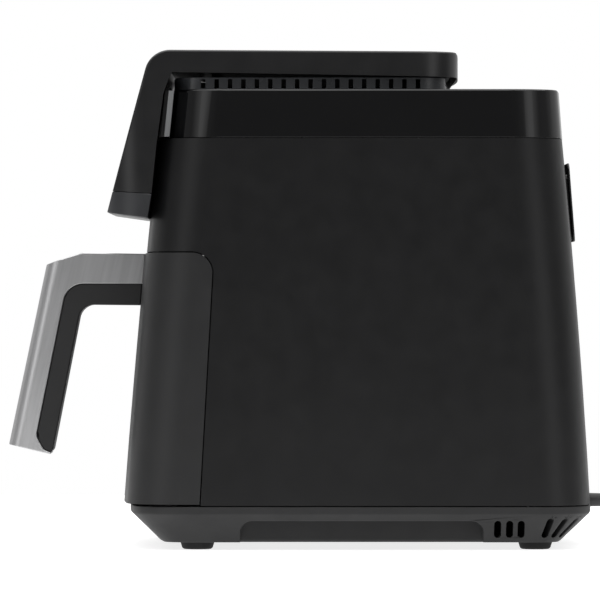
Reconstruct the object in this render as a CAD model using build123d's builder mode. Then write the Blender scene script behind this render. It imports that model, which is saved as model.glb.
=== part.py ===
from build123d import *
import os
from math import atan, cos, pi, radians, sin, tan

# Basket air fryer with an L-shaped console over a top air intake. Millimetres, +Z up, drawer towards -Y.
# The origin is on the floor under the middle of the body and handle together.

os.makedirs("parts", exist_ok=True)

# ---------------------------------------------------------------- driving dimensions

# Outer body, as levels: height, half width, front, rear. It narrows and leans back towards the top.
body_levels = ((29.6, 141.0, -118.9, 195.6), (150.0, 135.5, -109.0, 187.6), (272.0, 129.0, -96.8, 177.0))
body_corner = 34.0
body_bow = 7.0
shell_wall = 2.6
shell_setback = 0.9

# Glossy band and deck on top of the shell.
band_levels = ((272.4, 128.4, -90.0, 177.0), (304.4, 127.2, -87.0, 174.6))
band_corner = 32.0
band_bow = 6.0
deck_thick = 2.4

# Base tray under the shell.
base_front = -114.6
base_rear = 195.8
base_half = 140.6
rim_top = 29.0
rim_low = 24.0
base_under = 4.9
base_lean = rim_low - base_under

# Console: an L seen from the side, from the rear edge over the top to the lower end of the front leg.
console_half = 116.0
console_rear = 106.6
console_top = 330.8
console_under = 312.8
console_wall = 2.4
console_corner = 26.0
leg_front_low = (-128.1, 223.2)
leg_front_high = (-99.0, console_top)
leg_back = ((-101.0, 219.4), (-98.3, 235.7), (-95.1, 267.6), (-90.4, 302.0), (-85.3, 316.0))
trim_line = ((-124.5, 237.4), (-98.3, 235.7))

# Drawer: the front cap seen from the side, the bucket, and the liner that it runs in.
drawer_low = 30.4
drawer_high = 196.4
seam_low = -66.2
seam_high = -57.0
seam_corner = 13.5
seam_gap = 0.8
drawer_wall = 3.0
bucket_half = 108.0
bucket_front = -95.0
bucket_rear = 140.0
bucket_low = 42.0
bucket_high = 184.0
bucket_corner = 26.0
bucket_wall = 1.2
liner_half = 117.0
liner_rear = 149.0
liner_low = 35.0
liner_high = 193.0
liner_wall = 1.0
mouth_y = -55.0

# Fan, motor and heating chamber share one upright axis.
fan_y = 45.0
intake_y = 12.0
chamber_radius = 93.0
chamber_top = 228.0
shaft_radius = 4.0
shaft_clearance = 0.05
motor_radius = 33.0
motor_high = 266.0

# Mains lead.
cord_radius = 3.5
cord_exit_y = 196.2
cord_exit_z = 29.5
relief_length = 27.0
sleeve_radius = 4.7
sleeve_hole = sleeve_radius + 0.2
coil_centre = (-60.0, 262.0)
coil_radius = 38.0
coil_high = 14.2


def save(builder, name):
    """Label a finished piece and write it as its own STEP file."""
    builder.part.label = name
    export_step(builder.part, f"parts/{name}.step")


def plan(half_width, front, rear, corner, bow, inset=0.0):
    """Rounded rectangle seen from above, its front and rear sides bowed gently outwards."""
    side = half_width - inset
    low = front + inset
    high = rear - inset
    with BuildSketch() as outline:
        with BuildLine():
            Line((-side, high - bow), (-side, low + bow))
            ThreePointArc((-side, low + bow), (0, low), (side, low + bow))
            Line((side, low + bow), (side, high - bow))
            ThreePointArc((side, high - bow), (0, high), (-side, high - bow))
        make_face()
        fillet(outline.vertices(), corner - min(inset, corner - 4))
    return outline.sketch


def body_solid(inset, front_shift=0.0):
    """The outer body's leaning, tapering form, lofted through its three levels."""
    with BuildPart() as body:
        for height, half_width, front, rear in body_levels:
            with BuildSketch(Plane.XY.offset(height)):
                add(plan(half_width, front + front_shift, rear, body_corner, body_bow, inset))
        loft()
    return body.part


def band_solid(inset, low, high):
    """The upper band's form between two heights."""
    (z0, half0, front0, rear0), (z1, half1, front1, rear1) = band_levels
    with BuildPart() as band:
        for height in (low, high):
            t = (height - z0) / (z1 - z0)
            half_width = half0 + t * (half1 - half0)
            front = front0 + t * (front1 - front0)
            rear = rear0 + t * (rear1 - rear0)
            with BuildSketch(Plane.XY.offset(height)):
                add(plan(half_width, front, rear, band_corner, band_bow, inset))
        loft()
    return band.part


def drawer_outline(grow, rear_extra=0.0):
    """Side view of the drawer front behind its face; grow widens it, rear_extra moves its rear seam."""
    slope = (seam_high - seam_low) / (drawer_high - drawer_low)
    low = drawer_low - grow
    high = drawer_high + grow
    with BuildSketch() as outline:
        with BuildLine():
            Polyline(
                (-160, low),
                (seam_low + grow + rear_extra - slope * grow, low),
                (seam_high + grow + rear_extra + slope * grow, high),
                (-160, high),
                close=True,
            )
        make_face()
        top_rear = outline.vertices().group_by(Axis.Y)[-1].sort_by(Axis.X)[-1]
        fillet(top_rear, seam_corner + grow)
    return outline.sketch


# ---------------------------------------------------------------- housing: shell, band, base

# Main shell: one thin moulding, open below for the base and at the front for the drawer.
outlet_low = 205.0
outlet_high = 250.0
outlet_half = 52.0
with BuildPart() as main_shell:
    add(body_solid(0, shell_setback))
    add(body_solid(shell_wall, shell_setback), mode=Mode.SUBTRACT)
    with BuildSketch(Plane.YZ):
        add(drawer_outline(seam_gap))
    extrude(amount=200, both=True, mode=Mode.SUBTRACT)
    with BuildSketch(Plane.XZ.offset(-160)):
        with Locations((0, (outlet_low + outlet_high) / 2)):
            RectangleRounded(2 * outlet_half, outlet_high - outlet_low, 4)
    extrude(amount=-40, mode=Mode.SUBTRACT)
    with Locations(Location((0, cord_exit_y - 6, cord_exit_z), (90, 0, 0))):
        Cylinder(sleeve_hole, 30, mode=Mode.SUBTRACT)
save(main_shell, "main_shell")

# Upper band: glossy ring with the deck as its top; radial slots let air in above the cooling fan.
with BuildPart() as upper_band:
    add(band_solid(0, band_levels[0][0], band_levels[1][0]))
    fillet(upper_band.edges().group_by(Axis.Z)[-1], 1.4)
    add(band_solid(shell_wall, band_levels[0][0], band_levels[1][0] - deck_thick), mode=Mode.SUBTRACT)
    with BuildSketch(Plane.XY.offset(band_levels[1][0])):
        with Locations((0, intake_y)):
            with PolarLocations(42, 24):
                SlotOverall(34, 5)
    extrude(amount=-2 * deck_thick, mode=Mode.SUBTRACT)
save(upper_band, "upper_band")

# Base tray: short upright rim, wide 45 degree flank, flat underside.
vent_high = 19.6
vent_low = 8.2
vent_width = 4.4
recess_front = -39.6
recess_rear = 121.0
recess_high = 19.5
recess_wall = base_half - base_lean
recess_lift = 1.2
corner_vent_high = 21.2
pocket_inset = 22.5
rib_front = -70.0
rib_rear = 172.0
rib_high = 22.0
with BuildPart() as base_tray:
    with BuildSketch(Plane.XY.offset(base_under)):
        add(plan(base_half, base_front, base_rear, body_corner, body_bow, base_lean))
    with BuildSketch(Plane.XY.offset(rim_low)):
        add(plan(base_half, base_front, base_rear, body_corner, body_bow))
    loft()
    with BuildSketch(Plane.XY.offset(rim_low)):
        add(plan(base_half, base_front, base_rear, body_corner, body_bow))
    extrude(amount=rim_top - rim_low)
    with BuildSketch(Plane.XY.offset(base_under + 2.5)):
        add(plan(base_half, base_front, base_rear, body_corner, body_bow, pocket_inset))
    extrude(amount=rim_top, mode=Mode.SUBTRACT)
    with BuildSketch(Plane.XY.offset(rim_low - 1.6)):
        add(plan(base_half, base_front, base_rear, body_corner, body_bow, 3.2))
    extrude(amount=rim_top, mode=Mode.SUBTRACT)
    for side in (-1, 1):
        with BuildSketch(Plane.YZ.offset(side * recess_wall)):
            with Locations(((recess_front + recess_rear) / 2, recess_high / 2 - 3)):
                RectangleRounded(recess_rear - recess_front, recess_high + 6, 8)
        extrude(amount=side * 20, mode=Mode.SUBTRACT)
        with Locations((side * (recess_wall - 4), (recess_front + recess_rear) / 2, base_under)):
            Box(8.1, recess_rear - recess_front, 2 * recess_lift, mode=Mode.SUBTRACT)
        for vent_y in (130.3, 138.2, 145.8):
            with BuildSketch(Plane.YZ.offset(side * (base_half + 5))):
                with Locations((vent_y, (vent_low + vent_high) / 2)):
                    SlotOverall(vent_high - vent_low, vent_width, rotation=90)
            extrude(amount=-side * 34, mode=Mode.SUBTRACT)
        for angle in (20, 40, 60):
            turn = angle if side > 0 else 180 - angle
            heading = Vector(cos(radians(turn)), sin(radians(turn)), 0)
            corner_centre = Vector(side * (base_half - body_corner), base_rear - body_bow - body_corner, 0)
            vent_plane = Plane(corner_centre + heading * 45, x_dir=(0, 0, 1), z_dir=heading)
            with BuildSketch(vent_plane):
                with Locations(((vent_low + corner_vent_high) / 2, 0)):
                    SlotOverall(corner_vent_high - vent_low, vent_width)
            extrude(amount=-38, mode=Mode.SUBTRACT)
    with Locations((0, (rib_front + rib_rear) / 2, (base_under + rib_high) / 2 + 1)):
        Box(2.2, rib_rear - rib_front, rib_high - base_under)
    with Locations(Location((0, cord_exit_y - 6, cord_exit_z), (90, 0, 0))):
        Cylinder(sleeve_hole, 30, mode=Mode.SUBTRACT)
save(base_tray, "base_tray")

# Feet: four soft pads, each with a short neck pressed into the tray.
foot_places = [(x, y) for x in (-104, 104) for y in (-68, 156)]
with BuildPart() as base_feet:
    with Locations(*[(x, y, 0) for x, y in foot_places]):
        Cone(9.8, 11.4, base_under, align=(Align.CENTER, Align.CENTER, Align.MIN))
    fillet(base_feet.edges().group_by(Axis.Z)[0], 2.2)
save(base_feet, "base_feet")

# Base screws: pan heads seated under the tray, inboard of the feet.
with BuildPart() as base_screws:
    with Locations(*[(x * 0.72, y, base_under - 2.2) for x, y in foot_places]):
        Cylinder(3.6, 2.2, align=(Align.CENTER, Align.CENTER, Align.MIN))
save(base_screws, "base_screws")

# ---------------------------------------------------------------- console and air intake


def console_side(inset):
    """Side view of the whole console, shrunk by inset all round."""
    with BuildSketch() as outline:
        with BuildLine():
            Polyline(
                (console_rear, console_under),
                (console_rear, console_top - 1.2),
                leg_front_high,
                leg_front_low,
                *leg_back,
                close=True,
            )
        make_face()
        if inset:
            offset(amount=-inset, kind=Kind.INTERSECTION, mode=Mode.REPLACE)
        knee = outline.vertices().sort_by(Axis.Y)[-1]
        fillet(knee, 17 - inset)
    return outline.sketch


def console_plan(inset):
    """The console from above: square-ish at the leg, well rounded at the rear."""
    with BuildSketch() as outline:
        add(plan(console_half, leg_front_low[0] - 4, console_rear, console_corner, 4.0, inset))
    return outline.sketch


def console_solid(inset):
    """Solid console form: the side view drawn out sideways, then trimmed to its plan."""
    with BuildPart() as console:
        with BuildSketch(Plane.YZ):
            add(console_side(inset))
        extrude(amount=console_half - inset, both=True)
        with BuildSketch(Plane.XY.offset(leg_back[0][1] - 10)):
            add(console_plan(inset))
        extrude(amount=200, mode=Mode.INTERSECT)
        if not inset:
            top_rim = console.edges().filter_by(lambda edge: edge.bounding_box().min.Z > 322)
            fillet(top_rim, 1.5)
    return console.part


def below_trim(gap):
    """Everything under the slanting line where the leg's end cap starts."""
    with BuildPart() as block:
        with BuildSketch(Plane.YZ):
            with BuildLine():
                Polyline(
                    (trim_line[0][0] - 40, trim_line[0][1] + 2.6 - gap),
                    (trim_line[1][0] + 20, trim_line[1][1] - 1.3 - gap),
                    (trim_line[1][0] + 20, 200),
                    (trim_line[0][0] - 40, 200),
                    close=True,
                )
            make_face()
        extrude(amount=200, both=True)
    return block.part


# The touch panel lies in a shallow seat on the leg's slanting face.
lean = atan((leg_front_high[0] - leg_front_low[0]) / (leg_front_high[1] - leg_front_low[1]))
panel_centre_z = 281.0
panel_centre_y = leg_front_low[0] + (panel_centre_z - leg_front_low[1]) * tan(lean)
panel_plane = Plane((0, panel_centre_y, panel_centre_z), x_dir=(1, 0, 0), z_dir=(0, -cos(lean), sin(lean)))
panel_width = 204.0
panel_height = 74.0
panel_thick = 1.8

with BuildPart() as console_cover:
    add(console_solid(0))
    add(console_solid(console_wall), mode=Mode.SUBTRACT)
    add(below_trim(0), mode=Mode.SUBTRACT)
    add(body_solid(-0.3, shell_setback), mode=Mode.SUBTRACT)
    with BuildSketch(panel_plane):
        RectangleRounded(panel_width + 0.4, panel_height + 0.4, 8.2)
    extrude(amount=-panel_thick, mode=Mode.SUBTRACT)
    with BuildSketch(panel_plane):
        RectangleRounded(panel_width - 12, panel_height - 12, 5)
    extrude(amount=-8, mode=Mode.SUBTRACT)
    with BuildSketch(Plane.XY.offset(console_under - 4)):
        with Locations((0, 8)):
            RectangleRounded(2 * console_half - 44, 150, 18)
    extrude(amount=12, mode=Mode.SUBTRACT)
save(console_cover, "console_cover")

with BuildPart() as touch_panel:
    with BuildSketch(panel_plane):
        RectangleRounded(panel_width, panel_height, 8)
    extrude(amount=-(panel_thick - 0.1))
save(touch_panel, "touch_panel")

# End cap of the leg, in a lighter moulding.
with BuildPart() as console_trim:
    add(console_solid(0))
    add(console_solid(console_wall), mode=Mode.SUBTRACT)
    add(below_trim(0.3), mode=Mode.INTERSECT)
    add(body_solid(-0.3, shell_setback), mode=Mode.SUBTRACT)
save(console_trim, "console_trim")

# Underside plate: closes the console from inside its lower ledge. Its middle is a tray that hangs down
# inside the intake ring, so that air turns round its edge and no steam reaches the electronics.
plate_low = console_under + console_wall + 3.4
deflector_low = 307.4
with BuildPart() as console_plate:
    with BuildSketch(Plane.XY.offset(plate_low)):
        with Locations((0, 8)):
            RectangleRounded(2 * console_half - 34, 160, 22)
    extrude(amount=2)
    with BuildSketch(Plane.XY.offset(deflector_low)):
        with Locations((0, 8)):
            RectangleRounded(170, 134, 14)
    extrude(amount=plate_low - deflector_low)
    with BuildSketch(Plane.XY.offset(deflector_low + 1.8)):
        with Locations((0, 8)):
            RectangleRounded(166.4, 130.4, 12.2)
    extrude(amount=20, mode=Mode.SUBTRACT)
save(console_plate, "console_plate")

# Drip lip: a wedge along the middle of the console's rear edge, outside the intake ring.
with BuildPart() as drip_lip:
    with BuildSketch(Plane.YZ):
        with BuildLine():
            Polyline((99.6, console_under), (104.8, console_under), (101.4, console_under - 4.6), close=True)
        make_face()
    extrude(amount=74, both=True)
save(drip_lip, "drip_lip")

# Intake ring: an upright wall with open slots all round, standing on the deck under the console.
grille_half = 106.0
grille_front = -85.0
grille_rear = 99.0
grille_wall = 2.6
grille_low = band_levels[1][0]
grille_high = console_under - 0.1
slot_pitch = 8.9
slot_width = 3.0
with BuildPart() as air_grille:
    with BuildSketch(Plane.XY.offset(grille_low)):
        add(plan(grille_half, grille_front, grille_rear, 18, 3))
        add(plan(grille_half, grille_front, grille_rear, 18, 3, grille_wall), mode=Mode.SUBTRACT)
    extrude(amount=grille_high - grille_low)
    slot_deep = grille_high - grille_low - 2.2
    with Locations((0, (grille_front + grille_rear) / 2, grille_low + 1.0 + slot_deep / 2)):
        with GridLocations(0, slot_pitch, 1, 17):
            Box(2 * grille_half + 10, slot_width, slot_deep, mode=Mode.SUBTRACT)
        with GridLocations(slot_pitch, 0, 19, 1):
            Box(slot_width, grille_rear - grille_front + 20, slot_deep, mode=Mode.SUBTRACT)
save(air_grille, "air_grille")

# Neck: fills the narrow space between the console's leg and the band, and carries the wiring across.
neck_half = 92.0
arm_end = 110.0
blade_start = 107.0
blade_end = 119.0
blade_line = ((-89.8, 273.2), (-86.7, 303.6))


def upright_strip(near, far, thick):
    """Slanting strip along the blade line, from near to far in X on both sides; thick is its Y size."""
    with BuildPart() as strip:
        for side in (-1, 1):
            with BuildSketch(Plane.YZ.offset(side * near)):
                with BuildLine():
                    Polyline(
                        blade_line[0],
                        (blade_line[0][0] + thick, blade_line[0][1]),
                        (blade_line[1][0] + thick, blade_line[1][1]),
                        blade_line[1],
                        close=True,
                    )
                make_face()
            extrude(amount=side * (far - near))
    return strip.part


with BuildPart() as console_neck:
    with BuildSketch(Plane.YZ):
        with BuildLine():
            Polyline(
                (-94.0, 273.2),
                (-90.5, 273.2),
                (-87.4, 304.0),
                (-86.0, 306.5),
                (-88.5, 306.5),
                (-90.0, 302.0),
                close=True,
            )
        make_face()
    extrude(amount=neck_half, both=True)
    add(upright_strip(neck_half - 4, arm_end, -2.6))
save(console_neck, "console_neck")

# Blades: one narrow upright at each end of the neck, standing close in front of the band's corner.
with BuildPart() as neck_blades:
    add(upright_strip(blade_start, blade_end, 3.4))
save(neck_blades, "neck_blades")

# Control board with its display block, standing behind the touch panel.
with BuildPart() as control_board:
    with BuildSketch(panel_plane.offset(-6.4)):
        RectangleRounded(150, 46, 2)
    extrude(amount=-1.6)
    with BuildSketch(panel_plane.offset(-6.4)):
        Rectangle(64, 24)
    extrude(amount=4.0)
save(control_board, "control_board")

# ---------------------------------------------------------------- drawer

screw_places = [(-11, 170), (11, 170)]
screw_radius = 2.0

with BuildPart() as cap_hollow:
    add(body_solid(drawer_wall))
    with BuildSketch(Plane.YZ):
        add(drawer_outline(-drawer_wall, 8))
    extrude(amount=200, both=True, mode=Mode.INTERSECT)

with BuildPart() as drawer_front:
    add(body_solid(0))
    with BuildSketch(Plane.YZ):
        add(drawer_outline(0))
    extrude(amount=200, both=True, mode=Mode.INTERSECT)
    add(cap_hollow.part, mode=Mode.SUBTRACT)
    for x, z in screw_places:
        with Locations(Location((x, -105, z), (90, 0, 0))):
            Cylinder(screw_radius, 20, mode=Mode.SUBTRACT)
save(drawer_front, "drawer_front")


def bucket_plan(half_width, inset):
    """Bucket from above: a plain rounded rectangle."""
    length = bucket_rear - bucket_front - 2 * inset
    with BuildSketch() as outline:
        with Locations((0, (bucket_front + bucket_rear) / 2)):
            RectangleRounded(2 * (half_width - inset), length, bucket_corner - inset)
    return outline.sketch


bucket_taper = 5.0


def bucket_form(inset, low, floor_radius):
    """Bucket volume: walls lean in towards the floor, floor edge rounded."""
    with BuildPart() as form:
        with BuildSketch(Plane.XY.offset(low)):
            add(bucket_plan(bucket_half, bucket_taper + inset))
        with BuildSketch(Plane.XY.offset(bucket_high)):
            add(bucket_plan(bucket_half, inset))
        loft()
        fillet(form.edges().group_by(Axis.Z)[0], floor_radius)
    return form.part


# Bucket: deep-drawn tray with a flat flange round the mouth.
with BuildPart() as bucket:
    add(bucket_form(0, bucket_low, 9))
    with BuildSketch(Plane.XY.offset(bucket_high)):
        add(bucket_plan(bucket_half, -4))
    extrude(amount=-bucket_wall)
    add(bucket_form(bucket_wall, bucket_low + bucket_wall, 9 - bucket_wall), mode=Mode.SUBTRACT)
save(bucket, "bucket")

# Back plate: ties the bucket's front wall to the drawer front.
with BuildPart() as drawer_back_plate:
    with BuildSketch(Plane.XZ.offset(-bucket_front + 0.2)):
        with Locations((0, 110)):
            RectangleRounded(184, 138, 12)
    extrude(amount=2.4)
save(drawer_back_plate, "drawer_back_plate")

# Crisper plate: lies low in the bucket on four soft feet; slotted so that hot air reaches under the food.
plate_half = 99.5
plate_front = -85.5
plate_rear = 130.5
plate_z = 56.0
plate_thick = 1.6
pad_places = [(x, y) for x in (-84, 84) for y in (-62, 107)]
pad_low = bucket_low + bucket_wall + 0.3
with BuildPart() as crisper_plate:
    with BuildSketch(Plane.XY.offset(plate_z)):
        with Locations((0, (plate_front + plate_rear) / 2)):
            RectangleRounded(2 * plate_half, plate_rear - plate_front, 20)
            with GridLocations(22, 15, 8, 12):
                SlotOverall(15, 5, mode=Mode.SUBTRACT)
    extrude(amount=plate_thick)
    with BuildSketch(Plane.XY.offset(plate_z + plate_thick)):
        with Locations((0, (plate_front + plate_rear) / 2)):
            RectangleRounded(2 * plate_half, plate_rear - plate_front, 20)
            RectangleRounded(2 * plate_half - 3.2, plate_rear - plate_front - 3.2, 18.4, mode=Mode.SUBTRACT)
    extrude(amount=5)
save(crisper_plate, "crisper_plate")

with BuildPart() as plate_pads:
    with Locations(*[(x, y, pad_low) for x, y in pad_places]):
        Cylinder(6, plate_z - pad_low, align=(Align.CENTER, Align.CENTER, Align.MIN))
save(plate_pads, "plate_pads")

# ---------------------------------------------------------------- handle

handle_half = 21.0
grip_half = 20.0


def drawn_outline(points, corners, half_width):
    """A side-view polygon drawn out to both sides; corners lists (point index, fillet radius)."""
    with BuildPart() as body:
        with BuildSketch(Plane.YZ):
            with BuildSketch() as outline:
                with BuildLine():
                    Polyline(*points, close=True)
                make_face()
                for index, radius in corners:
                    place = Vector(*points[index])
                    fillet(outline.vertices().sort_by_distance(place)[0], radius)
        extrude(amount=half_width, both=True)
    return body.part


def screw_shanks(radius, near, far):
    """Round bars on the handle screws' axes, from near to far along Y."""
    with BuildPart() as bars:
        for x, z in screw_places:
            with Locations(Location((x, (near + far) / 2, z), (90, 0, 0))):
                Cylinder(radius, abs(far - near))
    return bars.part


shell_outline = (
    (-98.0, 196.2),
    (-147.2, 197.0),
    (-164.9, 191.5),
    (-171.6, 188.9),
    (-197.0, 67.5),
    (-168.6, 60.8),
    (-168.4, 62.0),
    (-173.2, 63.8),
    (-178.4, 73.3),
    (-157.6, 176.3),
    (-98.0, 176.3),
)
grip_outline = (
    (-98.0, 176.2),
    (-157.5, 176.2),
    (-178.3, 73.3),
    (-173.1, 63.9),
    (-168.3, 62.1),
    (-166.9, 64.2),
    (-147.8, 161.9),
    (-98.0, 161.4),
)

# Handle shell: silver outer skin over the top of the arm and down the front of the grip.
with BuildPart() as handle_shell:
    add(drawn_outline(shell_outline, ((9, 14), (8, 7.9), (7, 4.9)), handle_half))
    add(body_solid(0), mode=Mode.SUBTRACT)
    front_edges = handle_shell.edges().sort_by(Axis.Y)[:3].filter_by(lambda edge: edge.length > 60)
    fillet(front_edges, 9)
save(handle_shell, "handle_shell")

# Handle grip: soft black inner half, where the fingers close round it.
with BuildPart() as handle_grip:
    add(drawn_outline(grip_outline, ((1, 13.9), (2, 8), (3, 5), (6, 10.5)), grip_half))
    add(body_solid(0), mode=Mode.SUBTRACT)
    add(screw_shanks(screw_radius, -118, -90), mode=Mode.SUBTRACT)
save(handle_grip, "handle_grip")

with BuildPart() as handle_bracket:
    with Locations((0, -100.8, 176)):
        Box(58, 1.8, 26)
    add(screw_shanks(screw_radius, -118, -90), mode=Mode.SUBTRACT)
save(handle_bracket, "handle_bracket")

with BuildPart() as handle_screws:
    add(screw_shanks(screw_radius, -118, -99))
    add(screw_shanks(3.6, -99.9, -98.0))
save(handle_screws, "handle_screws")

# ---------------------------------------------------------------- cavity and heating chamber

liner_length = liner_rear - mouth_y
liner_mid = (liner_rear + mouth_y) / 2
sensor_place = (100.0, 122.0)
switch_x = 70.0
switch_z = 106.0
plunger_radius = 2.5

# Cavity liner: folded steel box, open to the front, with a round opening in its roof for the hot air.
with BuildPart() as cavity_liner:
    with Locations((0, liner_mid, liner_low)):
        Box(
            2 * liner_half,
            liner_length,
            liner_high - liner_low,
            align=(Align.CENTER, Align.CENTER, Align.MIN),
        )
    with Locations((0, liner_mid - liner_wall, liner_low + liner_wall)):
        Box(
            2 * (liner_half - liner_wall),
            liner_length,
            liner_high - liner_low - 2 * liner_wall,
            align=(Align.CENTER, Align.CENTER, Align.MIN),
            mode=Mode.SUBTRACT,
        )
    with Locations((0, fan_y, liner_high)):
        Cylinder(chamber_radius - 4, 10, mode=Mode.SUBTRACT)
    with Locations((*sensor_place, liner_high)):
        Cylinder(2, 10, mode=Mode.SUBTRACT)
    with Locations(Location((switch_x, liner_rear, switch_z), (90, 0, 0))):
        Cylinder(plunger_radius + 0.6, 10, mode=Mode.SUBTRACT)
save(cavity_liner, "cavity_liner")

# Front frame: closes the space between the shell and the liner round the drawer's mouth.
with BuildPart() as front_frame:
    add(body_solid(shell_wall + 0.2, shell_setback))
    with Locations((0, mouth_y + 1.25, 115)):
        Box(400, 2.5, 168, mode=Mode.INTERSECT)
    with Locations((0, mouth_y, (liner_low + liner_high) / 2)):
        Box(2 * liner_half + 0.2, 20, liner_high - liner_low + 0.2, mode=Mode.SUBTRACT)
save(front_frame, "front_frame")

# Rails: one strip each side of the liner, under the bucket's flange.
rail_width = 6.6
for side, rail_name in ((-1, "rail_left"), (1, "rail_right")):
    with BuildPart() as rail:
        rail_x = side * (liner_half - liner_wall - rail_width / 2)
        with Locations((rail_x, liner_mid, bucket_high - bucket_wall - 1.1)):
            Box(rail_width, liner_length - 8, 2)
    save(rail, rail_name)

# Heating element: one tube bent into a flat spiral of half turns, its two ends turned up through the dome.
element_radius = 3.2
element_z = 203.0
half_turns = (50.0, 55.0, 60.0, 65.0, 70.0)
with BuildPart() as heating_element:
    with BuildLine() as element_path:
        end = Vector(0, fan_y - half_turns[0], element_z)
        heading = 1
        for turn_radius in half_turns:
            far = end + Vector(0, 2 * heading * turn_radius, 0)
            side = Vector(heading * turn_radius, heading * turn_radius, 0)
            ThreePointArc(end, end + side, far)
            end = far
            heading = -heading
    with BuildSketch(Plane(element_path.line @ 0, z_dir=element_path.line % 0)):
        Circle(element_radius)
    sweep(path=element_path.line)
    element_tips = (element_path.line @ 0, element_path.line @ 1)
    for tip in element_tips:
        with Locations((tip.X, tip.Y, element_z)):
            Cylinder(
                element_radius,
                chamber_top + 8 - element_z,
                align=(Align.CENTER, Align.CENTER, Align.MIN),
            )
save(heating_element, "heating_element")

# Chamber dome: spun steel pan over the roof opening, with a hole for the motor shaft.
with BuildPart() as chamber_dome:
    with BuildSketch(Plane.XZ.offset(-fan_y)):
        with BuildLine():
            Polyline(
                (7, chamber_top),
                (chamber_radius - 12, chamber_top),
                (chamber_radius, chamber_top - 12),
                (chamber_radius, liner_high),
                (chamber_radius - 1, liner_high),
                (chamber_radius - 1, chamber_top - 12.4),
                (chamber_radius - 12.4, chamber_top - 1),
                (7, chamber_top - 1),
                close=True,
            )
        make_face()
    revolve(axis=Axis((0, fan_y, 0), (0, 0, 1)))
    for tip in element_tips:
        with Locations((tip.X, tip.Y, chamber_top)):
            Cylinder(element_radius + 0.6, 8, mode=Mode.SUBTRACT)
save(chamber_dome, "chamber_dome")

with BuildPart() as element_clips:
    for angle in (40, 160, 280):
        with Locations(Location((0, fan_y, element_z + element_radius + 0.1), (0, 0, angle))):
            with Locations((68, 0, 0.5)):
                Box(46, 6, 1)
save(element_clips, "element_clips")

# Guard: flat wire rings on four spokes, just under the element.
with BuildPart() as element_guard:
    with BuildSketch(Plane.XY.offset(liner_high + 1)):
        with Locations((0, fan_y)):
            for ring_radius in (28, 52, 76):
                Circle(ring_radius + 1)
                Circle(ring_radius - 1, mode=Mode.SUBTRACT)
            Rectangle(2 * chamber_radius - 3, 2)
            Rectangle(2, 2 * chamber_radius - 3)
    extrude(amount=2)
save(element_guard, "element_guard")

# Hot-air fan: ring of raked blades under a back disc.
with BuildPart() as hot_fan:
    with Locations((0, fan_y, 222)):
        Cylinder(46, 1, align=(Align.CENTER, Align.CENTER, Align.MIN))
    with Locations((0, fan_y, 212)):
        Cylinder(9, 11, align=(Align.CENTER, Align.CENTER, Align.MIN))
    for blade in range(10):
        with Locations(Location((0, fan_y, 217), (0, 0, 36 * blade))):
            with Locations(Location((32, 0, 0), (0, 0, 24))):
                Box(26, 1.2, 10.2)
    with Locations((0, fan_y, 217)):
        Cylinder(shaft_radius, 30, mode=Mode.SUBTRACT)
save(hot_fan, "hot_fan")

with BuildPart() as motor_shaft:
    with Locations((0, fan_y, 209)):
        Cylinder(shaft_radius, 75, align=(Align.CENTER, Align.CENTER, Align.MIN))
save(motor_shaft, "motor_shaft")

# Cooling fan on the shaft's upper end, drawing air down through the deck.
with BuildPart() as cooling_fan:
    with Locations((0, fan_y, 271)):
        Cylinder(44, 1.2, align=(Align.CENTER, Align.CENTER, Align.MIN))
        Cylinder(9, 12, align=(Align.CENTER, Align.CENTER, Align.MIN))
    for blade in range(12):
        with Locations(Location((0, fan_y, 277), (0, 0, 30 * blade))):
            with Locations(Location((30, 0, 0), (0, 0, -20))):
                Box(28, 1.4, 12)
    with Locations((0, fan_y, 277)):
        Cylinder(shaft_radius, 30, mode=Mode.SUBTRACT)
save(cooling_fan, "cooling_fan")

# Heat shield: tray turned upside down over the dome, on the liner's roof.
# Its rear opens into the outlet duct.
shield_top = 236.0
with BuildPart() as heat_shield:
    with Locations((0, liner_mid, liner_high)):
        Box(
            2 * liner_half - 6,
            liner_length - 8,
            shield_top - liner_high,
            align=(Align.CENTER, Align.CENTER, Align.MIN),
        )
        Box(
            2 * liner_half - 8,
            liner_length - 10,
            shield_top - liner_high - 1,
            align=(Align.CENTER, Align.CENTER, Align.MIN),
            mode=Mode.SUBTRACT,
        )
    with Locations((0, fan_y, shield_top)):
        Cylinder(12, 10, mode=Mode.SUBTRACT)
    for tip in element_tips:
        with Locations((tip.X, tip.Y, shield_top)):
            Cylinder(element_radius + 1, 10, mode=Mode.SUBTRACT)
    with Locations((0, liner_rear - 4, 220)):
        Box(94, 10, 24, mode=Mode.SUBTRACT)
save(heat_shield, "heat_shield")

# Motor on its bracket; the shaft runs in the motor's bore.
with BuildPart() as motor_bracket:
    with Locations((0, fan_y, shield_top + 0.8)):
        Box(150, 44, 1.6)
    with Locations((0, fan_y, shield_top + 0.8)):
        Cylinder(12, 4, mode=Mode.SUBTRACT)
        with GridLocations(128, 28, 2, 2):
            Cylinder(1.6, 4, mode=Mode.SUBTRACT)
save(motor_bracket, "motor_bracket")

with BuildPart() as motor:
    with Locations((0, fan_y, shield_top + 1.6)):
        Cylinder(motor_radius, motor_high - shield_top - 1.6, align=(Align.CENTER, Align.CENTER, Align.MIN))
    fillet(motor.edges().group_by(Axis.Z)[-1], 4)
    with Locations((0, fan_y, shield_top)):
        Cylinder(shaft_radius + shaft_clearance, 80, mode=Mode.SUBTRACT)
save(motor, "motor")

with BuildPart() as motor_screws:
    with Locations((0, fan_y, shield_top + 1.6)):
        with GridLocations(128, 28, 2, 2):
            Cylinder(3.2, 2, align=(Align.CENTER, Align.CENTER, Align.MIN))
            with Locations((0, 0, -1.6)):
                Cylinder(1.6, 1.6, align=(Align.CENTER, Align.CENTER, Align.MIN))
save(motor_screws, "motor_screws")

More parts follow.
